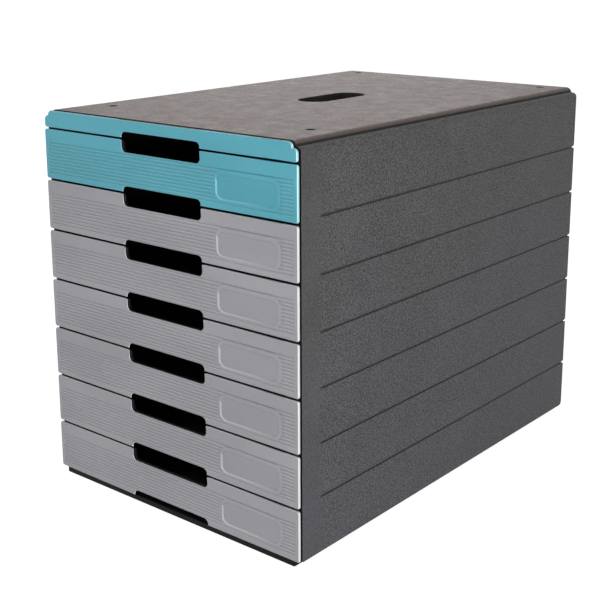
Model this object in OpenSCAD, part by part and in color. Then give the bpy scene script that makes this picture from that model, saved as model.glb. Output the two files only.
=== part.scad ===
// Desktop drawer box in moulded plastic: a closed housing with seven shallow drawers.
// Millimetres. +Z is up, the drawers open towards -Y, and the origin is on the ground
// at the middle of the box.

/* [Overall] */
// Width across the side panels
body_w = 250; // [240:1:320]
// Depth from the face of the drawers to the rear edge of the side panels
body_d = 375; // [340:1:440]
// Height from one gap between drawers to the next
pitch = 39.5; // [38.5:0.5:60]
// Height of the fixed strip above the top drawer
fascia_h = 13.9; // [11.5:0.1:30]
// Height of the base below the drawers
plinth_h = 4; // [3.5:0.5:12]
// How far the feet stand below the base
foot_h = 2; // [1.5:0.5:8]

/* [Drawer fronts] */
// Thickness of a front at its rim
front_t = 1.8; // [1.4:0.1:3]
// How far the middle of a front reaches further in than its rim
core_step = 1; // [0.6:0.1:3]
// Gap between one front and the next
front_gap = 1.3; // [0.6:0.1:2]
// Gap between the rim of a front and the housing behind it
overlay_gap = 2.2; // [0.4:0.1:3]
// Radius of the corners of a front
corner_r = 1.8; // [0.5:0.1:4]
// Radius of the two upright edges of a front
end_r = 1.4; // [0.4:0.1:3]
// Radius of the long edges of a front
long_r = 0.8; // [0.2:0.1:1.2]
// How far the outline of the fixed strip lies inside the outline of the housing
fascia_inset = 0.5; // [0.2:0.1:1]

/* [Finger cut-outs] */
// Width of a finger cut-out
cutout_w = 78; // [60:1:95]
// Depth of a cut-out below the gap, in the drawer that it opens
cutout_drop = 9.7; // [7:0.1:10]
// Height of a cut-out above the gap, in the piece over it
cutout_rise = 5.1; // [3:0.1:5.5]
// Radius of the corners of a cut-out
cutout_r = 4; // [1:0.5:5]

/* [Ribs on the fronts] */
// Number of grooves between the ribs of a front
rib_count = 10; // [4:1:11]
// Height from one groove to the next
rib_pitch = 2.53; // [2:0.01:2.6]
// Distance of the first groove below the gap
rib_first = 11.2; // [10.7:0.1:12]
// Width of a groove
rib_w = 1.2; // [0.6:0.1:1.6]
// Depth of a groove
rib_d = 0.4; // [0.2:0.1:0.8]
// Distance of a groove's end from the end of the front
rib_end = 3.4; // [2:0.1:12]

/* [Label field] */
// Width of the sunk label field
label_w = 55.6; // [40:0.2:64]
// Height of the label field
label_h = 19.2; // [13:0.2:22]
// Radius of the corners of the label field
label_r = 6; // [1:0.5:6.5]
// Distance of its middle from the middle of the front
label_x = 81; // [74:0.5:88]
// Distance of its middle below the gap
label_z = 22.4; // [20:0.1:25]
// How deep the label field is sunk
label_d = 0.8; // [0.2:0.1:1]
// Width of the plain rim round the label field, where the grooves stop
label_rim = 1.6; // [1:0.1:6]

/* [Housing shell] */
// Thickness of the side panels
wall = 2.6; // [2:0.1:4]
// Thickness of the top panel
lid_t = 2.6; // [2.6:0.1:5]
// How far the rim of the top panel hangs below its plate
lid_drop = 1.2; // [0.8:0.1:3]
// Distance of the top panel's edge in from the side of the box
lid_inset = 3.8; // [3:0.1:6]
// Radius of the long edges of the top panel
lid_r = 5; // [2:0.1:6]
// Radius of the shoulder along the top of a side panel
shoulder_r = 4.5; // [4.2:0.1:8]
// Width of the rim under the top panel
lid_rim_w = 8; // [4:0.5:14]
// Thickness of the back panel
back_t = 2.2; // [1.6:0.1:4]
// Distance of the back panel in from the rear edges of the side panels
back_recess = 3; // [2.8:0.1:8]
// Thickness of the flanges of the side panels
flange_t = 2; // [1.6:0.1:3]
// How far the top flange of a side panel reaches in
top_flange_w = 37; // [34:1:48]
// How far the bottom flange of a side panel reaches in
bottom_flange_w = 21; // [19:1:40]
// Radius of the top panel's upper rear edge
lid_rear_r = 2.5; // [1:0.5:4]
// Radius of a side panel's upper rear corner
rear_top_r = 3; // [1:0.5:10]
// Radius of a side panel's lower rear corner
rear_bottom_r = 3.5; // [1:0.5:8]

/* [Grooves in the side panels] */
// Width of a groove in the side panels
side_groove_w = 1; // [0.6:0.1:1.6]
// Depth of a groove in the side panels
side_groove_d = 0.8; // [0.3:0.1:1.2]
// Distance of a groove's front end behind the face of the drawers
side_groove_start = 24; // [8:1:80]
// Height of a groove above the gap between two drawers
side_groove_rise = 2.1; // [0:0.1:6]
// Depth of the notch where a groove meets the rear edge
notch_d = 2.5; // [1:0.1:2.6]
// Height of that notch
notch_h = 3.4; // [1.6:0.2:6]

/* [Handle slot] */
// Length of the carrying slot
slot_l = 70; // [60:1:130]
// Width of the carrying slot
slot_w = 27.5; // [20:0.5:40]
// Distance of the slot's middle behind the middle of the box
slot_y = 5.5; // [-40:0.5:40]
// Thickness of the collar under the slot
collar_t = 2; // [1.4:0.1:3.5]
// Depth of the collar below the top face
collar_h = 8.5; // [5:0.5:10]

/* [Screws] */
// Diameter of the screw recesses in the top panel
recess_d = 6.6; // [6.2:0.1:8]
// Depth of those recesses
recess_h = 2.2; // [1.8:0.1:2.4]
// Distance of the lid screws in from the side of the box
lid_screw_in = 27; // [23:0.5:31]
// Distance of the front lid screws behind the face of the drawers
screw_front = 46; // [30:1:90]
// Distance of the rear lid screws from the rear edge
screw_back = 16; // [14:1:60]
// Diameter of a screw's head
head_d = 5.6; // [4.8:0.1:6]
// Height of a screw's head
head_h = 1.6; // [1.2:0.1:1.8]
// Diameter of a screw's shank
shank_d = 2.9; // [2.2:0.1:3.4]
// Distance of the base screws in from the side of the base
base_screw_in = 8.5; // [7.5:0.5:10]

/* [Base and feet] */
// Distance of the base's sides in from the side of the box
base_inset = 3.5; // [3:0.5:7]
// Distance of the base's front behind the face of the drawers
base_front = 1.6; // [0.5:0.1:6]
// Radius of the base's lower corners
base_r = 3; // [1:0.5:3]
// Thickness of the base's plate
base_plate_t = 2.4; // [1.8:0.1:2.8]
// Thickness of the rim round the base
base_rim = 2.6; // [1.8:0.1:5]
// Diameter of a foot
foot_d = 18; // [12:1:24]
// Distance of a foot's middle from the side of the base
foot_in = 20; // [18:1:40]
// Distance of a foot's middle from the front and the rear of the base
foot_along = 24; // [18:1:32]

/* [Drawer trays] */
// Thickness of a tray's walls
tray_wall = 1.8; // [1.4:0.1:3]
// Thickness of a tray's floor
tray_floor = 2; // [1.4:0.1:3]
// Height of a tray's underside above the gap under its front
tray_lift = 6; // [5.8:0.1:8]
// Distance of a tray's rim below the gap over its front
tray_rim_gap = 2; // [1.4:0.1:4]
// Space between the closed tray and the back panel
tray_back_gap = 12; // [6:1:30]
// Height of the tray's rear wall
tray_rear_h = 27; // [18:0.5:29]
// Radius of the tray's rear corners
tray_r = 6; // [3:0.5:12]
// Gap between a tray's side and the runners
tray_side_gap = 1.4; // [0.6:0.1:3]
// How much the tray's own cut-out is larger than the front's
cutout_room = 0.8; // [0.4:0.1:3]

/* [Runners] */
// How far a runner stands in from the side panel
runner_w = 5; // [3.5:0.1:7]
// Thickness of a runner
runner_t = 2; // [1.4:0.1:2.4]
// Thickness of the flange by which a tray hangs on its runners
hanger_t = 2; // [1.4:0.1:3]
// Running clearance between a tray and its runners
run_gap = 0.3; // [0.2:0.05:0.6]
// How far a drawer pulls out before it meets its stops
pull_out = 260; // [150:1:270]
// Height of the stop lug on a tray's flange
lug_h = 2.5; // [1.5:0.1:2.8]
// Length of a stop lug
lug_l = 12; // [6:1:20]
// Length of the stop block that it meets
block_l = 6; // [4:1:12]
// Distance of a stop block behind the front edge of the housing
block_in = 8; // [4:1:20]

/* [Hidden] */
$fn = 48;

// Number of drawers, each with a tray and a front of its own
drawers = 7;
// Radial clearance of a screw's shank, and of a foot in its ring
shank_gap = 0.05;
foot_gap = 0.3;
// Extra length that carries a cutting solid clear of the faces it cuts
eps = 1;

// Gap between the middle of a front and the side panels, and between the fixed strip and flanges
core_gap = 0.8;
fascia_top_gap = 0.4;
// Radius of the front edge of a side panel where it meets the base
front_edge_r = 0.8;
// Wall of a screw boss, and of the pads round the lid screws
boss_wall = 2.1;
pad_wall = 1.7;
// Room between a boss and the tray beside it, and between a screw's tip and its boss's end
boss_clear = 1.2;
base_boss_clear = 1;
tip_gap = 0.6;
// Wall of the rings round the feet, their distance up from the base's rim, and the space
// between a foot and the base screw next to it
ring_wall = 1.5;
ring_up = 0.4;
base_screw_step = 6;
// Distances of the runners behind the front edge of the housing or the fronts' middle, and of
// the tray flanges behind the front edge of the housing
runner_in = 1;
hanger_in = 2;

half_w = body_w / 2;
face_y = -body_d / 2;
rear_y = body_d / 2;
// Front edge of the housing, behind the rims of the fronts
house_y = face_y + front_t + overlay_gap;
// Back of the fronts' middle, where the trays start, and where that middle takes root in the rim
core_y = face_y + front_t + core_step;
core_root_y = face_y + max(front_t / 2, long_r);
// Front ends of the runners and of the flanges beside them
runner_y = max(house_y, core_y) + runner_in;
// Front and rear faces of the back panel
back_y1 = rear_y - back_recess;
back_y0 = back_y1 - back_t;

base_z = foot_h;
floor_z = foot_h + plinth_h;
body_h = floor_z + drawers * pitch + fascia_h;
lid_edge = lid_t + lid_drop;
lid_half = half_w - lid_inset;
// Seat of the top panel on the flanges of the side panels
seat_z = body_h - lid_edge;
flange_z = seat_z - flange_t;

inner_x = half_w - wall;
runner_x = inner_x - runner_w;
// Middle of a side panel's wall, where the pieces on its inner face take root
root_x = inner_x + wall / 2;
tray_half = runner_x - tray_side_gap;
// The flange of a tray clears the side panel by twice its running clearance
hanger_x = inner_x - 2 * run_gap;
tray_rear = back_y0 - tray_back_gap;

// Gap under drawer number k; gap 0 lies under the fixed strip
function gap_z(k) = floor_z + (drawers - k) * pitch;
// Underside of a tray's flange, and the levels that follow from it
function rim_z(k) = gap_z(k - 1) - tray_rim_gap;
function hanger_z(k) = rim_z(k) - hanger_t;
function runner_z(k) = hanger_z(k) - run_gap;
function guide_z(k) = rim_z(k) + lug_h + run_gap;

// Rear face of the stop blocks, and front face of the lugs on a closed drawer
block_y = house_y + block_in + block_l;
lug_y = block_y + pull_out + run_gap;

boss_d = shank_d + 2 * boss_wall;
boss_z = rim_z(1) + boss_clear;
screw_x = half_w - lid_screw_in;
lid_screw_y = [face_y + screw_front, rear_y - screw_back];
base_half = half_w - base_inset;
base_screw_x = base_half - base_screw_in;
base_boss_z = floor_z + tray_lift - base_boss_clear;
base_y0 = face_y + base_front;
base_y1 = rear_y - base_front;
base_plate_z = floor_z - base_plate_t;
base_screw_along = foot_along + foot_d + base_screw_step;
base_screw_y = [base_y0 + base_screw_along, base_y1 - base_screw_along];
foot_x = base_half - foot_in;
foot_y = [base_y0 + foot_along, base_y1 - foot_along];

charcoal = [0.25, 0.25, 0.26];
teal = [0.36, 0.64, 0.69];
grey = [0.60, 0.60, 0.62];
black = [0.10, 0.10, 0.11];
rubber = [0.06, 0.06, 0.06];
steel = [0.35, 0.35, 0.36];

// ---------------------------------------------------------------- shapes that repeat

// A flat outline in X and Z, drawn out along Y
module along_y(y0, y1) {
    translate([0, y1, 0]) rotate([90, 0, 0]) linear_extrude(y1 - y0) children();
}

// A flat outline in Y and Z, drawn out along X
module along_x(x0, x1) {
    translate([x0, 0, 0]) rotate([90, 0, 90]) linear_extrude(x1 - x0) children();
}

// A flat outline in X and Y, drawn out along Z
module along_z(z0, z1) {
    translate([0, 0, z0]) linear_extrude(z1 - z0) children();
}

// A block between two corners
module block(low, high) {
    translate(low) cube(high - low);
}

// A rectangle between two corners
module pane(low, high) {
    translate(low) square(high - low);
}

// A rectangle between two corners, with a radius of its own at each of its four corners:
// low left, low right, high right, high left
module rounded_pane(low, high, radii) {
    corners = [low, [high[0], low[1]], high, [low[0], high[1]]];
    inward = [[1, 1], [-1, 1], [-1, -1], [1, -1]];
    difference() {
        pane(low, high);
        for (i = [0:3]) if (radii[i] > 0) translate(corners[i]) into_quadrant(inward[i]) {
            difference() {
                translate([-eps, -eps]) square(radii[i] + eps);
                translate([radii[i], radii[i]]) circle(radii[i]);
            }
        }
    }
}

// Turns a corner piece that was drawn in the first quadrant into another one
module into_quadrant(sign) {
    mirror([sign[0] < 0 ? 1 : 0, 0]) mirror([0, sign[1] < 0 ? 1 : 0]) children();
}

// A piece and its mirror image on the other side of the box
module on_both_sides() {
    children();
    mirror([1, 0, 0]) children();
}

// ---------------------------------------------------------------- drawer fronts

// The opening that a finger cut-out leaves in a front, round one gap
module cutout_pane(z, extra) {
    half = cutout_w / 2 + extra;
    low = z - cutout_drop - extra;
    high = z + cutout_rise + extra;
    r = cutout_r + extra;
    rounded_pane([-half, low], [half, high], [r, r, r, r]);
}

// Rows of grooves that stop short of the label field
module ribs(z) {
    difference() {
        for (i = [0 : rib_count - 1]) {
            middle = z - rib_first - i * rib_pitch;
            pane([-half_w + rib_end, middle - rib_w / 2], [half_w - rib_end, middle + rib_w / 2]);
        }
        label_pane(z, label_rim);
    }
}

// The label field of the front below gap height z, grown by an extra width
module label_pane(z, extra) {
    middle = [label_x, z - label_z];
    reach = [label_w / 2 + extra, label_h / 2 + extra];
    r = label_r + extra;
    rounded_pane(middle - reach, middle + reach, [r, r, r, r]);
}

// A plate with rounded upright ends and long edges, before its outline is cut
module softened_plate(z0, z1, depth) {
    end = min(end_r, front_t);
    edge = min(long_r, front_t);
    intersection() {
        along_z(z0, z1)
            rounded_pane([-half_w, face_y], [half_w, face_y + depth], [end, end, 0, 0]);
        along_x(-half_w, half_w)
            rounded_pane([face_y, z0], [face_y + depth, z1], [edge, 0, 0, edge]);
    }
}

// One drawer front: rim, thicker middle, cut-outs, ribs, label field and snap pegs
module drawer_front(k, tint) {
    low = gap_z(k) + front_gap / 2;
    high = gap_z(k - 1) - front_gap / 2;
    core_half = inner_x - core_gap;
    color(tint) {
        difference() {
            union() {
                intersection() {
                    softened_plate(low, high, front_t);
                    along_y(face_y - eps, core_y)
                        rounded_pane([-half_w, low], [half_w, high], [for (i = [0:3]) corner_r]);
                }
                block([-core_half, core_root_y, low], [core_half, core_y, high]);
            }
            along_y(face_y - eps, core_y + eps) cutout_pane(gap_z(k - 1), 0);
            along_y(face_y - eps, core_y + eps) cutout_pane(gap_z(k), 0);
            along_y(face_y - eps, face_y + rib_d) ribs(gap_z(k - 1));
            along_y(face_y - eps, face_y + label_d) label_pane(gap_z(k - 1), 0);
        }
        snap_pegs(k, 0, tray_wall + peg_over);
    }
}

// Pegs on the back of a front, which snap through windows in the tray's front wall
peg_inner_x = 50;
peg_outer_x = 96;
peg_w = 7;
peg_h = 3;
peg_rise = 16;
peg_gap = 0.2;
peg_over = 0.8;

module snap_pegs(k, extra, length) {
    z = gap_z(k) + peg_rise;
    on_both_sides() for (x = [peg_inner_x, peg_outer_x])
        block(
            [x - peg_w / 2 - extra, core_y - core_step / 2, z - extra],
            [x + peg_w / 2 + extra, core_y + length + extra, z + peg_h + extra]
        );
}

// ---------------------------------------------------------------- drawer trays

// Plan of a tray: square corners behind the front, rounded ones at the rear
module tray_plan(inset) {
    r = tray_r - inset;
    rounded_pane(
        [-tray_half + inset, core_y + inset], [tray_half - inset, tray_rear - inset],
        [0, 0, r, r]
    );
}

// One tray: floor, four walls, hanging flanges with their stop lugs
module drawer_tray(k) {
    low = gap_z(k) + tray_lift;
    high = rim_z(k);
    hanger_y = [house_y + hanger_in, tray_rear - tray_r];
    color(black) {
        difference() {
            along_z(low, high) tray_plan(0);
            along_z(low + tray_floor, high + eps) tray_plan(tray_wall);
            // The rear wall is lower than the sides
            block(
                [-tray_half + tray_r, tray_rear - tray_r, low + tray_rear_h],
                [tray_half - tray_r, tray_rear + eps, high + eps]
            );
            along_y(core_y - eps, core_y + tray_wall + eps) cutout_pane(gap_z(k - 1), cutout_room);
            snap_pegs(k, peg_gap, tray_wall);
        }
        on_both_sides() {
            block(
                [tray_half - tray_wall / 2, hanger_y[0], hanger_z(k)],
                [hanger_x, hanger_y[1], high]
            );
            block(
                [runner_x + run_gap, lug_y, hanger_z(k) + hanger_t / 2],
                [hanger_x, lug_y + lug_l, high + lug_h]
            );
        }
        tray_ribs(k);
    }
}

// Low ribs on the tray's floor, which keep sheets of paper from sticking to it
floor_ribs = 4;
floor_rib_w = 2;
floor_rib_h = 0.8;
floor_rib_end = 25;

module tray_ribs(k) {
    z = gap_z(k) + tray_lift + tray_floor;
    step = 2 * tray_half / (floor_ribs + 1);
    for (i = [1:floor_ribs]) {
        x = -tray_half + i * step;
        block(
            [x - floor_rib_w / 2, core_y + tray_wall + floor_rib_end, z - tray_floor / 2],
            [x + floor_rib_w / 2, tray_rear - tray_wall - floor_rib_end, z + floor_rib_h]
        );
    }
}

// ---------------------------------------------------------------- housing

// The outline that the top panel shows from the front, drawn in by an inset
module lid_outline(inset) {
    half = lid_half - inset;
    r = lid_r - inset;
    intersection() {
        rounded_pane([-half, body_h - 2 * lid_r], [half, body_h - inset], [0, 0, r, r]);
        pane([-half_w, seat_z - inset], [half_w, body_h]);
    }
}

// The outline of the side panels and their shoulders below it
module shoulder_outline(z0, inset) {
    rounded_pane([-half_w, z0], [half_w, seat_z - inset], [0, 0, shoulder_r, shoulder_r]);
}

// An upright round post, for screw holes, bosses, pads and rings
module post(x, y, z0, z1, d) {
    translate([x, y, z0]) cylinder(d = d, h = z1 - z0);
}

// The top panel: plate with rolled long edges and a rim below it, carrying slot and collar
module top_panel() {
    plate_z = body_h - lid_t;
    color(charcoal) difference() {
        union() {
            difference() {
                intersection() {
                    along_y(house_y, rear_y) lid_outline(0);
                    along_x(-half_w, half_w)
                        rounded_pane([house_y, seat_z], [rear_y, body_h], [0, 0, lid_rear_r, 0]);
                }
                block(
                    [-lid_half + lid_rim_w, house_y + lid_rim_w, seat_z - eps],
                    [lid_half - lid_rim_w, rear_y - lid_rim_w, plate_z]
                );
            }
            // Collar of the carrying slot
            translate([0, slot_y, 0]) along_z(body_h - collar_h, plate_z + lid_t / 2)
                stadium(slot_l + 2 * collar_t, slot_w + 2 * collar_t);
            // Pads round the lid screws, down to the flanges
            for (y = lid_screw_y) on_both_sides()
                post(screw_x, y, seat_z, plate_z + lid_t / 2, recess_d + 2 * pad_wall);
            lid_stiffeners();
        }
        translate([0, slot_y, 0]) along_z(body_h - collar_h - eps, body_h + eps)
            stadium(slot_l, slot_w);
        for (y = lid_screw_y) on_both_sides() {
            post(screw_x, y, body_h - recess_h, body_h + eps, recess_d);
            post(screw_x, y, seat_z - eps, body_h, shank_d + 2 * shank_gap);
        }
    }
}

// Stiffening ribs under the top panel, between the flanges of the side panels
stiffener_t = 1.8;
stiffener_h = 4;
stiffener_x = 42;
stiffener_in = 13;
stiffener_gap = 2;

module lid_stiffeners() {
    for (x = [-stiffener_x, stiffener_x])
        block(
            [x - stiffener_t / 2, house_y + stiffener_in, body_h - lid_t - stiffener_h],
            [x + stiffener_t / 2, back_y0 - stiffener_gap, body_h - lid_t / 2]
        );
}

// A slot outline with full round ends, its length along Y
module stadium(length, width) {
    square([width, length - width], center = true);
    for (side = [-1, 1]) translate([0, side * (length - width) / 2]) circle(d = width);
}

// Grooves on the outside of a right-hand side panel, and the notches at their rear ends
module side_grooves() {
    for (k = [1 : drawers - 1]) {
        z = gap_z(k) + side_groove_rise;
        block(
            [half_w - side_groove_d, face_y + side_groove_start, z - side_groove_w / 2],
            [half_w + eps, rear_y + eps, z + side_groove_w / 2]
        );
        along_x(inner_x - eps, half_w + eps)
            polygon([
                [rear_y - notch_d, z - side_groove_w / 2], [rear_y - notch_d, z + side_groove_w / 2],
                [rear_y + eps, z + notch_h / 2], [rear_y + eps, z - notch_h / 2]
            ]);
    }
}

// Runner, guide and stop block of one drawer, on the right-hand side panel
module runner(k) {
    y0 = runner_y;
    y1 = back_y0 - stile_t;
    block([runner_x, y0, runner_z(k) - runner_t], [root_x, y1, runner_z(k)]);
    block([runner_x, y0, guide_z(k)], [root_x, y1, guide_z(k) + runner_t]);
    block(
        [runner_x, block_y - block_l, rim_z(k) + run_gap],
        [root_x, block_y, guide_z(k) + runner_t / 2]
    );
}

// Upright stile that the back panel stands against, and the lip that holds it from behind
stile_t = 2.4;
stile_w = 4;
lip_w = 1;

module stile_and_lip() {
    block(
        [inner_x - stile_w, back_y0 - stile_t, floor_z],
        [root_x, back_y0, flange_z + flange_t / 2]
    );
    block([inner_x - lip_w, back_y1, floor_z], [root_x, back_y1 + lip_w, flange_z]);
}

// The right-hand side panel
module side_panel() {
    flange_x = half_w - top_flange_w;
    bottom_x = half_w - bottom_flange_w;
    inner_r = max(shoulder_r - wall, 0.5);
    difference() {
        intersection() {
            union() {
                // Wall with its shoulder and top flange
                difference() {
                    along_y(house_y, rear_y) shoulder_outline(floor_z, 0);
                    along_y(house_y - eps, rear_y + eps)
                        rounded_pane(
                            [-half_w - eps, floor_z - eps], [inner_x, flange_z], [0, 0, inner_r, 0]
                        );
                    block(
                        [-half_w - eps, house_y - eps, flange_z - eps],
                        [flange_x, rear_y + eps, seat_z + eps]
                    );
                    // The flange stops at the back panel
                    block(
                        [flange_x - eps, back_y0, floor_z - eps],
                        [inner_x, rear_y + eps, seat_z + eps]
                    );
                }
                block([bottom_x, runner_y, floor_z], [root_x, back_y0, floor_z + flange_t]);
                for (k = [1:drawers]) runner(k);
                stile_and_lip();
                for (y = lid_screw_y) post(screw_x, y, boss_z, seat_z - flange_t / 2, boss_d);
                for (y = base_screw_y)
                    post(base_screw_x, y, floor_z + flange_t / 2, base_boss_z, boss_d);
            }
            along_x(0, half_w + eps)
                rounded_pane(
                    [house_y, floor_z], [rear_y, seat_z],
                    [front_edge_r, rear_bottom_r, rear_top_r, 0]
                );
        }
        side_grooves();
        for (y = lid_screw_y)
            post(screw_x, y, boss_z - eps, seat_z + eps, shank_d + 2 * shank_gap);
        for (y = base_screw_y)
            post(base_screw_x, y, floor_z - eps, base_boss_z + eps, shank_d + 2 * shank_gap);
    }
}

module side_panel_right() {
    color(charcoal) side_panel();
}

module side_panel_left() {
    color(charcoal) mirror([1, 0, 0]) side_panel();
}

// The back panel, held between the stiles and the lips of the side panels
module back_panel() {
    color(charcoal) block([-inner_x, back_y0, floor_z], [inner_x, back_y1, seat_z]);
}

// The base: a plate with a rim below it, hollow underneath, and rings round the feet
module base_panel() {
    ring_d = foot_d + 2 * foot_gap + 2 * ring_wall;
    color(black) difference() {
        union() {
            difference() {
                intersection() {
                    along_y(base_y0, base_y1)
                        rounded_pane([-base_half, base_z], [base_half, floor_z], [base_r, base_r, 0, 0]);
                    along_z(base_z, floor_z)
                        rounded_pane(
                            [-base_half, base_y0], [base_half, base_y1], [for (i = [0:3]) base_r]
                        );
                }
                block(
                    [-base_half + base_rim, base_y0 + base_rim, base_z - eps],
                    [base_half - base_rim, base_y1 - base_rim, base_plate_z]
                );
            }
            for (x = [-foot_x, foot_x], y = foot_y)
                post(x, y, base_z + ring_up, base_plate_z + base_plate_t / 2, ring_d);
        }
        for (x = [-foot_x, foot_x], y = foot_y)
            post(x, y, base_z - eps, base_plate_z, foot_d + 2 * foot_gap);
        for (x = [-base_screw_x, base_screw_x], y = base_screw_y)
            post(x, y, base_z - eps, floor_z + eps, shank_d + 2 * shank_gap);
    }
}

// The fixed strip over the top drawer, with a flange that is held under the top panel
fascia_flange_y = 9;
fascia_flange_t = 1.8;
fascia_flange_gap = 2;

module front_fascia() {
    low = gap_z(0) + front_gap / 2;
    core_half = inner_x - core_gap;
    flange_half = half_w - top_flange_w - fascia_flange_gap;
    color(teal) {
        difference() {
            union() {
                intersection() {
                    softened_plate(low, body_h - fascia_inset, front_t);
                    along_y(face_y - eps, core_y) union() {
                        lid_outline(fascia_inset);
                        intersection() {
                            shoulder_outline(gap_z(1), fascia_inset);
                            rounded_pane(
                                [-half_w, low], [half_w, seat_z + pitch],
                                [corner_r, corner_r, 0, 0]
                            );
                        }
                    }
                }
                block(
                    [-core_half, core_root_y, low],
                    [core_half, core_y, flange_z - fascia_top_gap]
                );
            }
            along_y(face_y - eps, core_y + eps) cutout_pane(gap_z(0), 0);
        }
        block(
            [-flange_half, face_y + front_t / 2, seat_z - fascia_flange_t],
            [flange_half, house_y + fascia_flange_y, seat_z]
        );
    }
}

// ---------------------------------------------------------------- screws and feet

// A self-tapping screw with a domed head and a cross slot, pointing down from its seat
module screw(length) {
    cross_w = 0.9;
    cross_l = head_d * 0.62;
    dome_r = head_d * 0.95;
    difference() {
        union() {
            intersection() {
                cylinder(d = head_d, h = head_h);
                translate([0, 0, head_h - dome_r]) sphere(r = dome_r);
            }
            translate([0, 0, -length]) cylinder(d = shank_d, h = length + head_h / 2);
        }
        for (turn = [0, 90]) rotate(turn)
            block([-cross_l / 2, -cross_w / 2, head_h / 2], [cross_l / 2, cross_w / 2, head_h + eps]);
    }
}

module lid_screws() {
    seat = body_h - recess_h;
    color(steel) for (x = [-screw_x, screw_x], y = lid_screw_y)
        translate([x, y, seat]) screw(seat - boss_z - tip_gap);
}

module base_screws() {
    color(steel) for (x = [-base_screw_x, base_screw_x], y = base_screw_y)
        translate([x, y, base_plate_z]) mirror([0, 0, 1]) screw(base_boss_z - base_plate_z - tip_gap);
}

// A round rubber foot in its ring under the base
foot_chamfer = 0.8;

module foot(side_x, y) {
    chamfer = min(foot_chamfer, foot_h / 2);
    height = base_plate_z;
    color(rubber) translate([side_x * foot_x, y, 0]) {
        cylinder(d1 = foot_d - 2 * chamfer, d2 = foot_d, h = chamfer);
        translate([0, 0, chamfer]) cylinder(d = foot_d, h = height - chamfer);
    }
}

// ---------------------------------------------------------------- the nodes

top_panel();
side_panel_left();
side_panel_right();
back_panel();
base_panel();
front_fascia();
lid_screws();
base_screws();
foot(-1, foot_y[0]);  // foot_front_left
foot(1, foot_y[0]);  // foot_front_right
foot(-1, foot_y[1]);  // foot_rear_left
foot(1, foot_y[1]);  // foot_rear_right
drawer_tray(1);  // drawer_tray_1
drawer_tray(2);  // drawer_tray_2
drawer_tray(3);  // drawer_tray_3
drawer_tray(4);  // drawer_tray_4
drawer_tray(5);  // drawer_tray_5
drawer_tray(6);  // drawer_tray_6
drawer_tray(7);  // drawer_tray_7
drawer_front(1, teal);  // drawer_front_1
drawer_front(2, grey);  // drawer_front_2
drawer_front(3, grey);  // drawer_front_3
drawer_front(4, grey);  // drawer_front_4
drawer_front(5, grey);  // drawer_front_5
drawer_front(6, grey);  // drawer_front_6
drawer_front(7, grey);  // drawer_front_7
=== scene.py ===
import math

import bmesh
import bpy
from mathutils import Matrix, Vector


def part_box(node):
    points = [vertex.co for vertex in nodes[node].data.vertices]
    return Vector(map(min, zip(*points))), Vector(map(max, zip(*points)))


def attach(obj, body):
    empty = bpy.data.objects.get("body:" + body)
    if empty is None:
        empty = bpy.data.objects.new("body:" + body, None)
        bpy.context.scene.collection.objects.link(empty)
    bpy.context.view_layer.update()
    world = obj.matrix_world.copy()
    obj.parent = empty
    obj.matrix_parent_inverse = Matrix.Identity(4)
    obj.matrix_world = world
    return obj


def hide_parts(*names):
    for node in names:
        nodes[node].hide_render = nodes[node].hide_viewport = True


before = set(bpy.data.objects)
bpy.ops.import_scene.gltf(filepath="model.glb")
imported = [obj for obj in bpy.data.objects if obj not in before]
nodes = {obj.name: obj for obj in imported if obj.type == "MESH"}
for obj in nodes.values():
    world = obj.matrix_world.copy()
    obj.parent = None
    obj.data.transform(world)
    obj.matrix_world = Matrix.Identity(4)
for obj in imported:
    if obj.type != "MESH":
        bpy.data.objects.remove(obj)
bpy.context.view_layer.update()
mm = 0.001

# ------------------------------------------------------------------ side panels
# The two side panels are injection moulded in charcoal plastic, with a spark-eroded grain on
# the outside, six thin grooves and a plain band behind the front edge. Their runners, guides
# and screw bosses are moulded on. They are the CAD nodes, with the grain as their material.


class Wire:
    """One output of a shader node. Sums and products of wires and numbers add Math nodes."""

    def __init__(self, finish, socket):
        self.finish, self.socket = finish, socket

    def maths(self, operation, first, second):
        return self.finish.node("ShaderNodeMath", {"operation": operation}, {0: first, 1: second})

    def __add__(self, other):
        return self.maths("ADD", self, other)

    def __radd__(self, other):
        return self.maths("ADD", other, self)

    def __sub__(self, other):
        return self.maths("SUBTRACT", self, other)

    def __rsub__(self, other):
        return self.maths("SUBTRACT", other, self)

    def __mul__(self, other):
        return self.maths("MULTIPLY", self, other)

    def __rmul__(self, other):
        return self.maths("MULTIPLY", other, self)

    def __gt__(self, other):
        return self.maths("GREATER_THAN", self, other)

    def __lt__(self, other):
        return self.maths("LESS_THAN", self, other)


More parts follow.
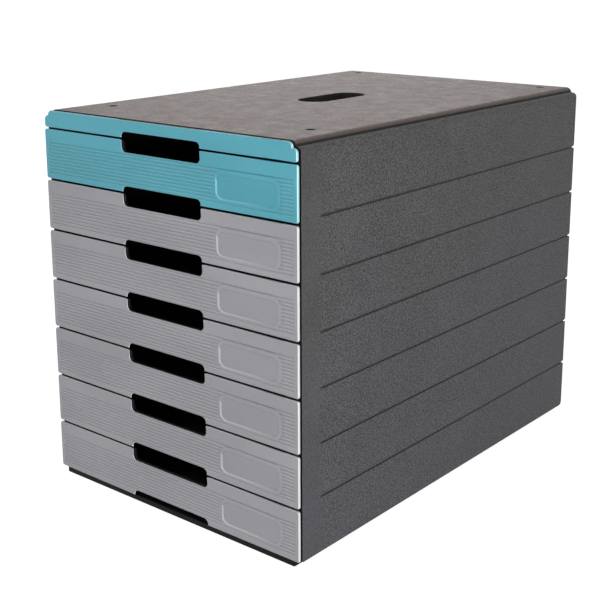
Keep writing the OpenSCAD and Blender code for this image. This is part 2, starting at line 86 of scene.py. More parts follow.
class Finish:
    """The nodes of a material or of the world. node() adds one and hands back an output of it."""

    def __init__(self, owner):
        self.owner = owner
        owner.use_nodes = True
        self.tree = owner.node_tree
        self.tree.nodes.clear()

    def node(self, kind, settings, sockets, output=0):
        made = self.tree.nodes.new(kind)
        for name, value in settings.items():
            setattr(made, name, value)
        for name, value in sockets.items():
            if isinstance(value, Wire):
                self.tree.links.new(value.socket, made.inputs[name])
            else:
                made.inputs[name].default_value = value
        return Wire(self, made.outputs[output]) if made.outputs else made

    def place(self):
        """Position on the object, in metres."""
        return self.node("ShaderNodeTexCoord", {}, {}, "Object")

    def axis(self, name):
        """One coordinate of the position, in metres."""
        return self.node("ShaderNodeSeparateXYZ", {}, {0: self.place()}, name)

    def facing(self, name):
        """One part of the surface's normal, with its sign."""
        normal = self.node("ShaderNodeNewGeometry", {}, {}, "Normal")
        return self.node("ShaderNodeSeparateXYZ", {}, {0: normal}, name)

    def size_of(self, value):
        """A value without its sign."""
        return self.node("ShaderNodeMath", {"operation": "ABSOLUTE"}, {0: value})

    def larger(self, first, second):
        return self.node("ShaderNodeMath", {"operation": "MAXIMUM"}, {0: first, 1: second})

    def noise(self, size, detail=2.0, roughness=0.5, stretch=(1, 1, 1)):
        """Noise whose blots are about size across, from 0 to 1."""
        where = self.node("ShaderNodeMapping", {}, {"Vector": self.place(), "Scale": stretch})
        return self.node(
            "ShaderNodeTexNoise", {},
            {"Vector": where, "Scale": 1 / size, "Detail": detail, "Roughness": roughness},
            "Fac",
        )

    def spread(self, value, low, high, to_low, to_high):
        """Maps low..high to to_low..to_high, and holds it there beyond them."""
        return self.node(
            "ShaderNodeMapRange", {"interpolation_type": "SMOOTHSTEP"},
            {
                "Value": value, "From Min": low, "From Max": high,
                "To Min": to_low, "To Max": to_high,
            },
        )

    def mix(self, share, first, second):
        """A colour between two colours, each a wire or three numbers."""
        pair = [c if isinstance(c, Wire) else (*c, 1) for c in (first, second)]
        # Inputs 6 and 7 and output 2 of a Mix node are the ones for colours
        return self.node(
            "ShaderNodeMix", {"data_type": "RGBA"}, {0: share, 6: pair[0], 7: pair[1]}, 2
        )

    def edges(self, radius):
        """Normal that is rounded along edges, and a mask that is 1 on them."""
        rounded = self.node("ShaderNodeBevel", {"samples": 4}, {"Radius": radius})
        flat = self.node("ShaderNodeNewGeometry", {}, {}, "Normal")
        same = self.node(
            "ShaderNodeVectorMath", {"operation": "DOT_PRODUCT"}, {0: rounded, 1: flat}, 1
        )
        return rounded, self.spread(same, 0.75, 0.985, 1, 0)

    def bump(self, height, depth, normal=None):
        sockets = {"Height": height, "Distance": depth, "Strength": 1.0}
        if normal is not None:
            sockets["Normal"] = normal
        return self.node("ShaderNodeBump", {}, sockets)

    def surface(self, color, roughness, normal, **fixed):
        """Closes the material with one Principled shader."""
        names = {"specular": "Specular IOR Level", "metallic": "Metallic"}
        shader = self.node(
            "ShaderNodeBsdfPrincipled", {},
            {"Base Color": color, "Roughness": roughness, "Normal": normal,
             **{names[k]: v for k, v in fixed.items()}},
        )
        self.node("ShaderNodeOutputMaterial", {}, {"Surface": shader})
        return self.owner


def rgb(red, green, blue):
    """A colour in linear light, from the 0 to 255 values that it has on a screen."""
    return tuple(
        c / 12.92 if c <= 0.04045 else ((c + 0.055) / 1.055) ** 2.4
        for c in (red / 255, green / 255, blue / 255)
    )


# Near black, painted on faces that lie in shade: painted shade
painted_shade_black = rgb(8, 8, 9)
# A yellow-green tint, multiplied in towards the top
upper_tint = (0.97, 1.0, 0.88, 1)


def grained(
    name, dark, light, worn, grain_size, grain_depth, edge_radius, plain=None, gap=None,
    cloud_size=55 * mm, cloudy=0.2, sheen=(0.48, 0.66), specular=0.5,
):
    """Moulded plastic with a spark-eroded grain, lighter along its edges: partly rubbed wear,
    partly a painted highlight. plain(finish) is the grain's share, lower where the tool was
    smoother. gap(finish) is 1 on faces that lie in a gap, which are painted nearly black as
    painted shade. Clouds of the size cloud_size change the tone, by the share cloudy, and the
    roughness, from the first to the second number of sheen."""
    finish = Finish(bpy.data.materials.new(name))
    grain = finish.noise(grain_size, 3.0, 0.6)
    fine = finish.noise(0.5 * mm, 1.0)
    cloud = finish.noise(cloud_size, 4.0, 0.6)
    rounded, edge = finish.edges(edge_radius)
    coarse = 1.0 if plain is None else plain(finish)
    tone = finish.spread((grain - 0.5) * coarse + 0.5 + (cloud - 0.5) * cloudy, 0.32, 0.68, 0, 1)
    color = finish.mix(tone, dark, light)
    # The upper part is tinted a little yellow-green, more towards the top
    height = finish.axis("Z") + (finish.noise(170 * mm, 1.0) - 0.5) * 250 * mm
    color = finish.node(
        "ShaderNodeMix", {"data_type": "RGBA", "blend_type": "MULTIPLY"},
        {0: finish.spread(height, 100 * mm, 260 * mm, 0, 1), 6: color, 7: upper_tint}, 2,
    )
    # Lighter along the edges: partly rubbed wear, partly a painted highlight on the edges
    scuff_and_edge_highlight = edge * finish.spread(finish.noise(7 * mm, 3.0, 0.65), 0.4, 0.62, 0.15, 0.8)
    color = finish.mix(scuff_and_edge_highlight, color, worn)
    blotch = (grain - 0.5) * 0.6 + 0.5 + (cloud - 0.5) * (0.3 + 2 * cloudy)
    roughness = finish.spread(blotch, 0.25, 0.75, *sheen) - scuff_and_edge_highlight * 0.1
    # Faces in a gap are painted near black: painted shade
    if gap is not None:
        painted_shade_share = gap(finish)
        color = finish.mix(painted_shade_share, color, painted_shade_black)
        roughness = roughness + painted_shade_share * 0.3
    normal = finish.bump((grain * coarse + fine * 0.3), grain_depth, rounded)
    return finish.surface(color, roughness, normal, specular=specular)


def dress(material, *names):
    """Gives CAD nodes a material."""
    for name in names:
        nodes[name].data.materials.clear()
        nodes[name].data.materials.append(material)


side_low, side_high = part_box("side_panel_right")
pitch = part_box("drawer_front_1")[0].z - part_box("drawer_front_2")[0].z
band_inner = side_low.y + 13 * mm
band_outer = side_low.y + 25 * mm
lowest_groove = side_low.z + pitch + 2.1 * mm
groove_start = side_low.y + 19 * mm
side_grooves = 6
# How far the painted shade beside each groove reaches
groove_shade_narrow = 0.4 * mm
groove_shade_wide = 1.7 * mm


def front_band(finish):
    """Less grain in the band behind the front edge."""
    return finish.spread(finish.axis("Y"), band_inner, band_outer, 0.4, 1)


def side_painted_shade(finish):
    """Painted shade: the front faces of the panels, behind the drawer fronts, and soft dark bands
    along the grooves.
    """
    across = finish.size_of(finish.axis("X"))
    # The front faces behind the drawer fronts are painted black: painted shade
    front = (finish.axis("Y") < side_low.y + 0.2 * mm) * (across < side_high.x - 0.15 * mm)
    height = finish.axis("Z") - lowest_groove
    away = finish.node("ShaderNodeMath", {"operation": "PINGPONG"}, {0: height, 1: pitch / 2})
    rows = (height > -pitch / 2) * (height < (side_grooves - 0.5) * pitch)
    faint = finish.spread(finish.axis("Y"), side_low.y, side_high.y, 0.42, 0.2)
    # Soft dark bands beside the grooves, fainter towards the rear: painted shade
    groove_shade = finish.spread(away, groove_shade_narrow, groove_shade_wide, 1, 0) * rows * faint
    return finish.larger(front, groove_shade * (finish.axis("Y") > groove_start))


charcoal = grained(
    "charcoal_grain", rgb(42, 42, 44), rgb(106, 105, 111), rgb(128, 128, 130),
    1.2 * mm, 0.3 * mm, 0.5 * mm, front_band, side_painted_shade, specular=0.25,
)
dress(charcoal, "side_panel_left", "side_panel_right")

# ------------------------------------------------------------------ back panel
# The back is one flat moulding in the same grained charcoal plastic. It stands between the
# stiles of the side panels and is held from behind by their lips.

back = grained(
    "charcoal_back", rgb(46, 46, 49), rgb(84, 84, 88), rgb(110, 110, 112),
    1.7 * mm, 0.22 * mm, 0.4 * mm,
)
dress(back, "back_panel")

# ------------------------------------------------------------------ base
# The base is a black moulding, a little smaller than the housing, with soft lower corners and
# a hollow underside. It is screwed up into the side panels.


def moulded(name, color, shade, roughness, edge_radius, gap=None, specular=0.5):
    """Plain moulded plastic with flow marks, fine dust in its pores and rubbed edges."""
    finish = Finish(bpy.data.materials.new(name))
    rounded, edge = finish.edges(edge_radius)
    flow = finish.noise(30 * mm, 2.0, 0.5, (1, 0.25, 1))
    pores = finish.noise(0.7 * mm, 2.0)
    worn = edge * finish.spread(finish.noise(5 * mm, 3.0, 0.6), 0.42, 0.64, 0.1, 0.7)
    body = finish.mix(finish.spread(flow + (pores - 0.5) * 0.5, 0.25, 0.75, 0, 1), color, shade)
    body = finish.mix(worn, body, tuple(c * 2 + 0.04 for c in shade))
    # Faces in a gap are painted near black: painted shade
    if gap is not None:
        body = finish.mix(gap(finish), body, painted_shade_black)
    return finish.surface(
        body,
        finish.spread(flow + (pores - 0.5) * 0.4, 0.2, 0.8, roughness - 0.06, roughness + 0.08),
        finish.bump(pores, 0.03 * mm, rounded),
        specular=specular,
    )


base_plastic = moulded(
    "base_plastic", rgb(9, 9, 10), rgb(14, 14, 15), 0.6, 0.3 * mm, specular=0.12
)
dress(base_plastic, "base_panel")

# ------------------------------------------------------------------ feet and screws
# Four rubber feet are pressed into rings on the underside of the base. Four steel screws hold
# the base, and four hold the lid. All are the CAD nodes, with rubber and blackened steel.


def rubber():
    """Black rubber, chalky from use, with a fine skin texture."""
    finish = Finish(bpy.data.materials.new("foot_rubber"))
    rounded, edge = finish.edges(0.5 * mm)
    skin = finish.noise(0.9 * mm, 3.0, 0.6)
    chalk = finish.spread(finish.noise(4 * mm, 4.0, 0.6), 0.45, 0.75, 0, 0.5)
    color = finish.mix(chalk, rgb(24, 24, 24), rgb(58, 57, 55))
    color = finish.mix(edge * 0.4, color, rgb(84, 83, 80))
    return finish.surface(color, 0.74 + (skin - 0.5) * 0.2, finish.bump(skin, 0.06 * mm, rounded))


dress(rubber(), "foot_front_left", "foot_front_right", "foot_rear_left", "foot_rear_right")


def blackened_steel():
    """Steel screws with a black oxide skin, bright where the driver has rubbed them."""
    finish = Finish(bpy.data.materials.new("blackened_steel"))
    rounded, edge = finish.edges(0.3 * mm)
    patch = finish.noise(1.6 * mm, 3.0, 0.6)
    rubbed = edge * finish.spread(patch, 0.4, 0.6, 0.2, 1)
    color = finish.mix(finish.spread(patch, 0.3, 0.7, 0, 1), rgb(20, 20, 21), rgb(36, 35, 36))
    color = finish.mix(rubbed, color, rgb(150, 148, 145))
    roughness = finish.spread(patch, 0.3, 0.7, 0.32, 0.5)
    return finish.surface(color, roughness, finish.bump(patch, 0.02 * mm, rounded), metallic=0.8)


dress(blackened_steel(), "base_screws", "lid_screws")

# ------------------------------------------------------------------ lid
# The top panel is a separate moulding with a softer grain, rolled along its two long edges and
# at the rear. It has the carrying slot with a collar, two stiffening ribs below, and four
# bosses with recesses for its screws.

lid_thickness = 2.6 * mm
lid_rim = 8 * mm
lid_roll = 5 * mm
lid_rear_roll = 2.5 * mm
lid_front_round = 0.5 * mm
seat_gap = 0.15 * mm
# The carrying slot, whose middle lies a little behind the middle of the box
slot_length = 70 * mm
slot_width = 27.5 * mm
slot_middle = 5.5 * mm
slot_round = 0.9 * mm
collar_wall = 2 * mm
collar_depth = 8.5 * mm
# The ribs below, and how far they and the collar stay below the top face
stiffener_x = 42 * mm
stiffener_half = 0.9 * mm
stiffener_depth = 6.6 * mm
stiffener_front = 13 * mm
stiffener_rear = 7.2 * mm
root = 1.3 * mm
# The screws' places, from the middle and from the lid's front and rear edges
screw_x = 98 * mm
screw_front = 42 * mm
screw_rear = 16 * mm
boss_radius = 5 * mm
shank_radius = 1.5 * mm
recess_radius = 3.3 * mm
recess_depth = 2.2 * mm
recess_round = 0.3 * mm
# Two places closer than this count as the same
touch = 0.01 * mm


def only(piece):
    """Makes one piece the selected and active one."""
    bpy.ops.object.select_all(action="DESELECT")
    piece.select_set(True)
    bpy.context.view_layer.objects.active = piece


def block(name, low, high):
    """A block between two corners, its place in its mesh."""
    bpy.ops.object.select_all(action="DESELECT")
    bpy.ops.mesh.primitive_cube_add(size=1, location=[(a + b) / 2 for a, b in zip(low, high)])
    piece = bpy.context.object
    piece.name = name
    piece.scale = [b - a for a, b in zip(low, high)]
    bpy.ops.object.transform_apply(location=True, rotation=True, scale=True)
    return piece


def pin(name, x, y, low, high, radius, sides=32):
    """An upright round pin, its place in its mesh."""
    bpy.ops.object.select_all(action="DESELECT")
    bpy.ops.mesh.primitive_cylinder_add(
        vertices=sides, radius=radius, depth=high - low, location=(x, y, (low + high) / 2)
    )
    piece = bpy.context.object
    piece.name = name
    bpy.ops.object.transform_apply(location=True, rotation=True, scale=True)
    return piece


def round_edges(piece, chosen, radius, segments, profile=0.5):
    """Rounds the edges that pass the test chosen(edge). A lower profile makes a flatter edge."""
    only(piece)
    bpy.ops.object.mode_set(mode="EDIT")
    bpy.ops.mesh.select_all(action="DESELECT")
    bpy.ops.mesh.select_mode(type="EDGE")
    shape = bmesh.from_edit_mesh(piece.data)
    for edge in shape.edges:
        edge.select_set(bool(chosen(edge)))
    bmesh.update_edit_mesh(piece.data)
    bpy.ops.mesh.bevel(
        offset=radius, offset_type="OFFSET", segments=segments, profile=profile,
        affect="EDGES", clamp_overlap=False,
    )
    bpy.ops.object.mode_set(mode="OBJECT")


def reach(edge, axis):
    """Lowest and highest place of an edge on one axis: 0 for X, 1 for Y, 2 for Z."""
    return sorted(v.co[axis] for v in edge.verts)


def along(direction):
    """A test for edges that run along one axis."""
    def chosen(edge):
        spans = [high - low for low, high in (reach(edge, i) for i in range(3))]
        return all(spans[i] < touch / 10 for i in range(3) if i != direction)
    return chosen


def combine(piece, tool, operation):
    """Cuts a tool from a piece (DIFFERENCE), or joins it on (UNION), and removes the tool."""
    only(piece)
    modifier = piece.modifiers.new("combine", "BOOLEAN")
    modifier.operation = operation
    modifier.solver = "EXACT"
    modifier.object = tool
    bpy.ops.object.modifier_apply(modifier=modifier.name)
    bpy.data.objects.remove(tool)


def finish_shape(piece, angle=17):
    """Smooths the rounded edges and leaves the flat faces flat."""
    only(piece)
    bpy.ops.object.mode_set(mode="EDIT")
    bpy.ops.mesh.select_all(action="SELECT")
    bpy.ops.mesh.remove_doubles(threshold=0.002 * mm)
    bpy.ops.object.mode_set(mode="OBJECT")
    bpy.ops.object.shade_smooth_by_angle(angle=math.radians(angle))
    modifier = piece.modifiers.new("weigh", "WEIGHTED_NORMAL")
    modifier.keep_sharp = True
    modifier.weight = 100
    bpy.ops.object.modifier_apply(modifier=modifier.name)


def coat(piece, material):
    """Gives a piece its one material."""
    piece.data.materials.clear()
    piece.data.materials.append(material)


def stadium(name, low, high, width, length):
    """An upright block with full round ends, for the slot and its collar."""
    piece = block(
        name,
        (-width / 2, slot_middle - length / 2, low),
        (width / 2, slot_middle + length / 2, high),
    )
    # A little less than half the width, so that the two roundings don't meet
    round_edges(piece, along(2), width / 2 * 0.998, 12)
    return piece


lid_low, lid_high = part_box("top_panel")
lid_seat = side_high.z
lid_top = lid_high.z


def above_seat(edge):
    """True for the edges of the lid's block, apart from those that the cut at its seat removes."""
    return reach(edge, 2)[0] > lid_seat - 4 * mm and reach(edge, 2)[1] > lid_seat


lid = block(
    "lid", (lid_low.x, lid_low.y, lid_top - 2 * lid_roll), (lid_high.x, lid_high.y, lid_top)
)
round_edges(
    lid, lambda edge: along(1)(edge) and reach(edge, 2)[0] > lid_top - touch, lid_roll, 12
)
round_edges(
    lid, lambda edge: reach(edge, 1)[0] > lid_high.y - touch and above_seat(edge),
    lid_rear_roll, 6,
)
round_edges(
    lid, lambda edge: reach(edge, 1)[1] < lid_low.y + touch and above_seat(edge),
    lid_front_round, 3,
)
combine(
    lid,
    block("tool", (-1, -1, lid_seat - 0.1), (1, 1, lid_seat + seat_gap)),
    "DIFFERENCE",
)
combine(
    lid,
    block(
        "tool",
        (lid_low.x + lid_rim, lid_low.y + lid_rim, lid_seat - mm),
        (lid_high.x - lid_rim, lid_high.y - lid_rim, lid_top - lid_thickness),
    ),
    "DIFFERENCE",
)
for x in (-stiffener_x, stiffener_x):
    combine(
        lid,
        block(
            "tool",
            (x - stiffener_half, lid_low.y + stiffener_front, lid_top - stiffener_depth),
            (x + stiffener_half, lid_high.y - stiffener_rear, lid_top - root),
        ),
        "UNION",
    )
combine(
    lid,
    stadium(
        "tool", lid_top - collar_depth, lid_top - root,
        slot_width + 2 * collar_wall, slot_length + 2 * collar_wall,
    ),
    "UNION",
)
combine(
    lid,
    stadium("tool", lid_top - collar_depth - mm, lid_top + mm, slot_width, slot_length),
    "DIFFERENCE",
)
screws = [
    (x, y)
    for x in (-screw_x, screw_x)
    for y in (lid_low.y + screw_front, lid_high.y - screw_rear)
]
for x, y in screws:
    boss = pin("tool", x, y, lid_seat, lid_top - lid_thickness / 2, boss_radius, 40)
    combine(lid, boss, "UNION")
    recess = pin("tool", x, y, lid_top - recess_depth, lid_top + mm, recess_radius)
    combine(lid, recess, "DIFFERENCE")
    shank = pin("tool", x, y, lid_seat - mm, lid_top, shank_radius, 20)
    combine(lid, shank, "DIFFERENCE")


def round_hole(x, y, out, radius, segments):
    """Rounds the upper edge of a hole in the lid, out to a distance from its middle."""
    round_edges(
        lid,
        lambda edge: reach(edge, 2)[0] > lid_top - touch and all(
            (v.co.x - x) ** 2 + (v.co.y - y) ** 2 < out ** 2 for v in edge.verts
        ),
        radius, segments,
    )


round_hole(0, slot_middle, slot_length, slot_round, 6)
for x, y in screws:
    round_hole(x, y, recess_radius + 0.5 * mm, recess_round, 2)
finish_shape(lid)


def lid_flat(finish):
    """Less grain on the rolled edges."""
    return finish.spread(finish.facing("Z"), 0.8, 0.98, 0.3, 1)


def lid_painted_shade(finish):
    """Painted shade: the inside of the slot and the recesses, the front edge behind the fascia and
    the seam are painted black, and the rolled edges, turned from the light, a little darker than
    the top."""
    across, along_lid = finish.size_of(finish.axis("X")), finish.axis("Y")
    # The insides of the slot and the recesses are painted black: painted shade
    inner = (finish.axis("Z") < lid_top - 0.25 * mm) * (across < screw_x + 12 * mm)
    inner = inner * (along_lid < lid_high.y - lid_rim) * (along_lid > lid_low.y + lid_rim)
    front = along_lid < lid_low.y + lid_front_round
    seam = finish.axis("Z") < lid_seat + 1.5 * mm
    # The rolled edges are painted darker where they turn from the light: painted shade
    roll_shade = finish.spread(finish.facing("Z"), 0.5, 0.95, 0.36, 0)
    return finish.larger(finish.larger(finish.larger(inner, front), seam), roll_shade)


# The lid is the same charcoal plastic as the sides; its brown tint is a painted warm reflection
lid_plastic = grained(
    "lid_grain", rgb(60, 46, 46), rgb(110, 91, 91), rgb(130, 116, 114),
    3 * mm, 0.5 * mm, 0.5 * mm, lid_flat, lid_painted_shade,
    cloud_size=14 * mm, cloudy=0.3, sheen=(0.51, 0.64),
)
coat(lid, lid_plastic)
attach(lid, "housing")
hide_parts("top_panel")

# ------------------------------------------------------------------ drawer fronts
# Each front is a satin moulding that snaps onto its tray: ten low ribs, a sunk label field with
# sloping walls, half a finger cut-out above and below, and soft edges that catch the light.

front_low, front_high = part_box("drawer_front_1")
face = front_low.y
gap_height = front_low.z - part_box("drawer_front_2")[1].z
gap = front_high.z + gap_height / 2
half = front_high.x
# The plate that shows, and the thicker core behind it
plate_thickness = 1.8 * mm
plate_corner = 1.8 * mm
outline_round = 0.8 * mm
outline_profile = 0.38
edge_relief = 0.15 * mm
back_chamfer = 0.9 * mm
core_front = face + 1.5 * mm
core_back = face + 2.8 * mm
core_half = 121.6 * mm
core_foot = mm
core_head = 1.2 * mm
# A finger cut-out, measured from the gap between two drawers
cutout_half = 39 * mm
cutout_drop = 9.7 * mm
cutout_rise = 5.1 * mm
cutout_corner = 4 * mm
cutout_round = 0.7 * mm
cutout_lip = mm
lip_reach = 2.2 * mm
# The grooves between the ribs; the first lies this far below the gap
first_groove = 11.2 * mm
groove_step = 2.53 * mm
groove_count = 10
groove_depth = 0.65 * mm
groove_end = 3.4 * mm
# The label field: its floor across, and below the gap, and how far each wall slopes out
label_x = (53.4 * mm, 108.8 * mm)
label_z = (31.9 * mm, 12.9 * mm)
label_wall = {"left": 0.75 * mm, "right": 3.6 * mm, "bottom": 0.85 * mm, "top": 3 * mm}
label_depth = 0.9 * mm
label_rim = 1.6 * mm
label_corner = 6.5 * mm


def cutout(level):
    """The tool for the finger cut-out round one gap."""
    tool = block(
        "tool",
        (-cutout_half, face - mm, level - cutout_drop),
        (cutout_half, core_back + mm, level + cutout_rise),
    )
    round_edges(tool, along(1), cutout_corner, 8)
    return tool


def cutout_back(level):
    """The tool that thins the plastic to a lip round a finger cut-out, from behind."""
    tool = block(
        "tool",
        (-cutout_half - lip_reach, face + cutout_lip, level - cutout_drop - lip_reach),
        (cutout_half + lip_reach, core_back + mm, level + cutout_rise + lip_reach),
    )
    round_edges(tool, along(1), cutout_corner + lip_reach, 8)
    return tool


def face_edge(edge):
    """True along the outline of a front's face."""
    return reach(edge, 1)[1] < face + touch and any(f.normal.y > -0.9 for f in edge.link_faces)


def cutout_edge(edge):
    """True round a finger cut-out."""
    return face_edge(edge) and all(
        abs(v.co.x) < cutout_half + touch
        and any(
            -cutout_drop - touch < v.co.z - z < cutout_rise + touch for z in (gap, gap - pitch)
        )
        for v in edge.verts
    )


def rib_tool():
    """What is cut away between the ribs: a bar with a wavy face, kept off the label field."""
    shallow = 0.02 * mm
    bar_depth = 1.5 * mm
    steps = 12 * groove_count
    height = groove_step * groove_count
    middle = gap - first_groove + groove_step / 2 - height / 2
    bpy.ops.object.select_all(action="DESELECT")
    bpy.ops.mesh.primitive_grid_add(
        x_subdivisions=1, y_subdivisions=steps, size=1, location=(0, face, middle),
        rotation=(math.pi / 2, 0, 0),
    )
    tool = bpy.context.object
    tool.scale = (2 * (half - groove_end), height, 1)
    bpy.ops.object.transform_apply(location=True, rotation=True, scale=True)
    for vertex in tool.data.vertices:
        turn = (gap - first_groove - vertex.co.z) / groove_step
        wave = 0.5 + 0.5 * math.cos(2 * math.pi * turn)
        vertex.co.y = face + shallow + groove_depth * wave
    only(tool)
    bpy.ops.object.mode_set(mode="EDIT")
    bpy.ops.mesh.select_all(action="SELECT")
    bpy.ops.mesh.extrude_region_move(TRANSFORM_OT_translate={"value": (0, -bar_depth, 0)})
    bpy.ops.mesh.select_all(action="SELECT")
    bpy.ops.mesh.normals_make_consistent(inside=False)
    bpy.ops.object.mode_set(mode="OBJECT")
    keep = block(
        "keep",
        (label_x[0] - label_rim, face - 2 * bar_depth, gap - label_z[0] - label_rim),
        (label_x[1] + label_rim, face + 2 * bar_depth, gap - label_z[1] + label_rim),
    )
    round_edges(keep, along(1), label_corner + label_rim, 10)
    combine(tool, keep, "DIFFERENCE")
    return tool


def label_tool():
    """The label field: steep walls at the left and below, gentle ones at the right and above. The
    tool's outer face stands in front of the front's face, on the walls' slopes carried on."""
    out = mm
    run = {side: wall * out / label_depth for side, wall in label_wall.items()}
    low = (label_x[0] - run["left"], face - out, gap - label_z[0] - run["bottom"])
    high = (label_x[1] + run["right"], face + label_depth, gap - label_z[1] + run["top"])
    tool = block("tool", low, high)
    round_edges(tool, along(1), label_corner, 10)
    full = 1 + out / label_depth
    inner_low = [low[0] + label_wall["left"] * full, low[2] + label_wall["bottom"] * full]
    inner_high = [high[0] - label_wall["right"] * full, high[2] - label_wall["top"] * full]
    only(tool)
    bpy.ops.object.mode_set(mode="EDIT")
    bpy.ops.mesh.select_all(action="DESELECT")
    shape = bmesh.from_edit_mesh(tool.data)
    for vertex in shape.verts:
        vertex.select_set(vertex.co.y > face)
    shape.select_flush(True)
    bmesh.update_edit_mesh(tool.data)
    size = (high[0] - low[0], high[2] - low[2])
    inner = [b - a for a, b in zip(inner_low, inner_high)]
    bpy.ops.transform.resize(
        value=(inner[0] / size[0], 1, inner[1] / size[1]),
        center_override=(low[0], face + label_depth, low[2]),
    )
    bpy.ops.transform.translate(value=(inner_low[0] - low[0], 0, inner_low[1] - low[2]))
    bpy.ops.object.mode_set(mode="OBJECT")
    return tool


def satin(name, dark, light, wear_and_highlight, end_highlight, end_highlight_zone):
    """Satin moulded plastic with a very fine texture and rubbed edges. The label field's walls, the
    end faces, in an end zone at the right and left, and the sides of the cut-outs are painted
    lighter as a painted highlight; the rib valleys, the label floor and the inside of the
    cut-outs are painted darker as painted shade."""
    finish = Finish(bpy.data.materials.new(name))
    skin = finish.noise(0.8 * mm, 2.0)
    cloud = finish.noise(45 * mm, 2.0, 0.5, (0.4, 1, 1))
    rounded, edge = finish.edges(0.35 * mm)
    across = finish.size_of(finish.axis("X"))
    middle = across < cutout_half + 2 * mm
    zone = finish.larger(across > half - end_highlight_zone, middle * 0.8)
    end_highlight_share = zone * finish.spread(finish.size_of(finish.facing("X")), 0.42, 0.8, 0, 1)
    # The sloping walls get a painted highlight
    wall_highlight = finish.spread(finish.size_of(finish.facing("Y")), 0.79, 0.82, 1, 0)
    # The painted highlight on the label field's lower wall fades out towards the gentle wall at its
    # right
    in_label = (across > label_x[0]) * (across < label_x[1] + label_wall["right"] + 0.4 * mm)
    fade = finish.spread(finish.axis("X"), label_x[0] + 20 * mm, label_x[1] - mm, 0, 0.9)
    wall_highlight = wall_highlight * (1 - in_label * fade)
    depth = finish.axis("Y") - face
    # The valleys between the ribs and the label field's floor are painted darker: painted shade
    valley_shade = finish.spread(depth, 0.1 * mm, groove_depth, 0, 0.22)
    valley_shade = valley_shade * (depth < groove_depth + 0.1 * mm)
    valley_shade = valley_shade * (finish.size_of(finish.facing("Y")) > 0.5) * (finish.facing("Y") < 0)
    color = finish.mix(finish.spread(cloud + (skin - 0.5) * 0.5, 0.3, 0.7, 0, 1), dark, light)
    label_shade = in_label * (depth > label_depth - 0.1 * mm) * (depth < label_depth + 0.1 * mm)
    color = finish.mix(valley_shade + label_shade * 0.1, color, tuple(c * 0.3 for c in dark))
    rub = edge * finish.spread(finish.noise(6 * mm, 3.0, 0.6), 0.4, 0.6, 0.1, 0.5)
    # Rubbed wear along the edges, and a painted highlight on the walls
    color = finish.mix(finish.larger(rub, wall_highlight * 0.45), color, wear_and_highlight)
    # The end faces and the sides of the cut-outs are painted lighter: painted highlight
    color = finish.mix(end_highlight_share, color, end_highlight)
    # Inside a finger cut-out and behind its lip the plastic is painted near black: painted shade
    inner = middle * (depth > 0.5 * mm) * (finish.facing("Y") > -0.5)
    color = finish.mix(inner, color, painted_shade_black)
    roughness = 0.42 + (cloud - 0.5) * 0.12 + (skin - 0.5) * 0.1 - end_highlight_share * 0.16
    return finish.surface(color, roughness, finish.bump(skin, 0.02 * mm, rounded), specular=0.5)


def teal(name, end_highlight_zone):
    """The teal of the top drawer and of the fascia."""
    # The third colour is for rubbed edges and the walls' painted highlight, the fourth the ends'
    # painted highlight
    return satin(
        name, rgb(70, 148, 164), rgb(78, 156, 172), rgb(140, 205, 214), rgb(190, 240, 248), end_highlight_zone
    )


front_highlight_zone = 2.5 * mm
front_teal = teal("front_teal", front_highlight_zone)
# The third colour is for rubbed edges and the walls' painted highlight, the fourth the ends'
# painted highlight
front_grey = satin(
    "front_grey", rgb(139, 139, 144), rgb(148, 148, 153), rgb(198, 198, 202), rgb(236, 236, 240),
    front_highlight_zone,
)

front = block(
    "drawer_front",
    (-half, face, front_low.z + edge_relief),
    (half, face + plate_thickness, front_high.z - edge_relief),
)
round_edges(front, along(1), plate_corner, 6)
for level in (gap, gap - pitch):
    combine(front, cutout(level), "DIFFERENCE")
round_edges(
    front, lambda edge: face_edge(edge) and not cutout_edge(edge), outline_round, 6,
    outline_profile,
)
round_edges(front, cutout_edge, cutout_round, 6)
# The upper edge falls away behind the face, so that the gap above it shows black
round_edges(
    front,
    lambda edge: along(0)(edge) and reach(edge, 1)[0] > face + plate_thickness - touch
    and reach(edge, 2)[0] > front_high.z - edge_relief - touch,
    back_chamfer, 1,
)
core = block(
    "tool",
    (-core_half, core_front, front_low.z + core_foot),
    (core_half, core_back, front_high.z - core_head),
)
for level in (gap, gap - pitch):
    combine(core, cutout(level), "DIFFERENCE")
combine(front, core, "UNION")
for level in (gap, gap - pitch):
    combine(front, cutout_back(level), "DIFFERENCE")
combine(front, rib_tool(), "DIFFERENCE")
combine(front, label_tool(), "DIFFERENCE")
finish_shape(front)
for k in range(1, 8):
    copy = front if k == 7 else front.copy()
    if copy is not front:
        copy.data = front.data.copy()
        bpy.context.scene.collection.objects.link(copy)
    copy.name = f"front_{k}"
    copy.data.transform(Matrix.Translation((0, 0, -(k - 1) * pitch)))
    coat(copy, front_teal if k == 1 else front_grey)
    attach(copy, f"drawer_{k}")
    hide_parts(f"drawer_front_{k}")

# ------------------------------------------------------------------ fascia
# The teal strip over the top drawer is fixed. It follows the stepped outline of lid and
# shoulders, holds the upper half of the first cut-out, and clips in under the lid.

fascia_low, fascia_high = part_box("front_fascia")
fascia_inset = 0.5 * mm
shoulder_corner = 3.4 * mm
strip_corner = 3.6 * mm
# The zone at each end that gets the painted highlight, wide enough to take in the step
fascia_highlight_zone = 9 * mm
fascia_core_head = 2.4 * mm
